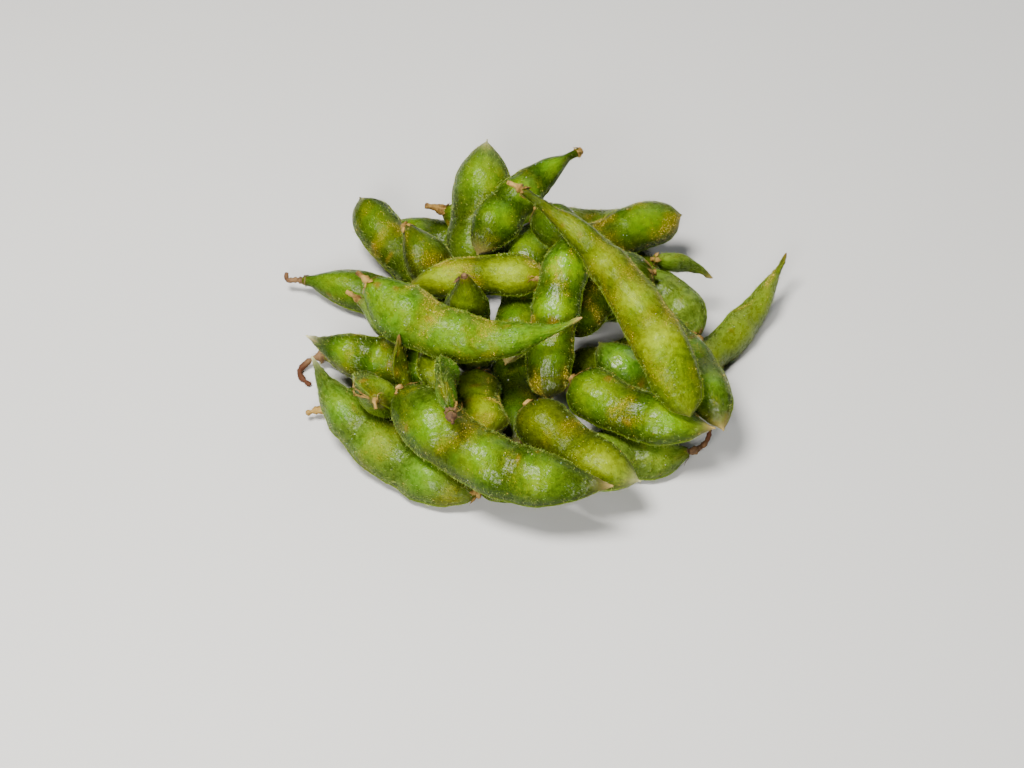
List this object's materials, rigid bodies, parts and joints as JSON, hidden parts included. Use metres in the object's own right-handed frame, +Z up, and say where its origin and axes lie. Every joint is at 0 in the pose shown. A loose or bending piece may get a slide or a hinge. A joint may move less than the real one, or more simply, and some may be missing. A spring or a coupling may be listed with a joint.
{
  "type": "edamame pod bundle",
  "caption": "Loose heap of boiled edamame pods, flat and curved with bulges over the beans, lying across each other, some with dry stalks left on.",
  "frame": {"origin": "on the table, under the middle of the heap's bounding box", "axes": "+X along the heap's longest side, +Y away from the side it is looked at from, +Z up"},
  "size_m": [0.1308, 0.1122, 0.0426],
  "materials": {
    "skin_fresh": "wet, finely haired pod skin, fresh green",
    "skin_olive": "wet, finely haired pod skin, yellow-green to olive",
    "skin_deep": "wet, finely haired pod skin, deep green",
    "skin_pale": "wet, finely haired pod skin, pale grey-green"
  },
  "bodies": {
    "root": {"pod_front_left_under": "skin_deep", "pod_front_left": "skin_pale", "pod_front_lip": "skin_fresh", "pod_front_right_low": "skin_pale", "pod_centre_dark": "skin_deep", "pod_right_low": "skin_olive", "pod_right_outer": "skin_olive", "pod_right_leaning": "skin_pale", "pod_left_low": "skin_olive", "pod_left_stalked": "skin_pale", "pod_under_back_right": "skin_olive", "pod_front_big": "skin_fresh", "pod_left_stubby": "skin_fresh", "pod_left_slim": "skin_pale", "pod_left_ragged": "skin_fresh", "pod_tiny_upright": "skin_olive", "pod_small_stalked": "skin_fresh", "pod_olive_stalked": "skin_olive", "pod_torn_end": "skin_olive", "pod_middle_front": "skin_olive", "pod_right_front": "skin_fresh", "pod_right_glossy": "skin_deep", "pod_right_dark": "skin_deep", "pod_right_edge": "skin_deep", "pod_small_flat": "skin_olive", "pod_brown_end": "skin_olive", "pod_back_broad": "skin_olive", "pod_back_right": "skin_fresh", "pod_second_long": "skin_deep", "pod_behind_upright": "skin_fresh", "pod_back_left_low": "skin_fresh", "pod_pale_middle": "skin_fresh", "pod_back_left_blunt": "skin_olive", "pod_back_left_steep": "skin_fresh", "pod_back_upright": "skin_fresh", "pod_back_stemmed": "skin_deep", "pod_upright_middle": "skin_deep", "pod_facing_down": "skin_olive", "pod_yellow_middle": "skin_olive", "pod_centre_upright": "skin_deep", "pod_centre_curved": "skin_olive", "pod_top_long": "skin_olive"}
  },
  "joints": []
}
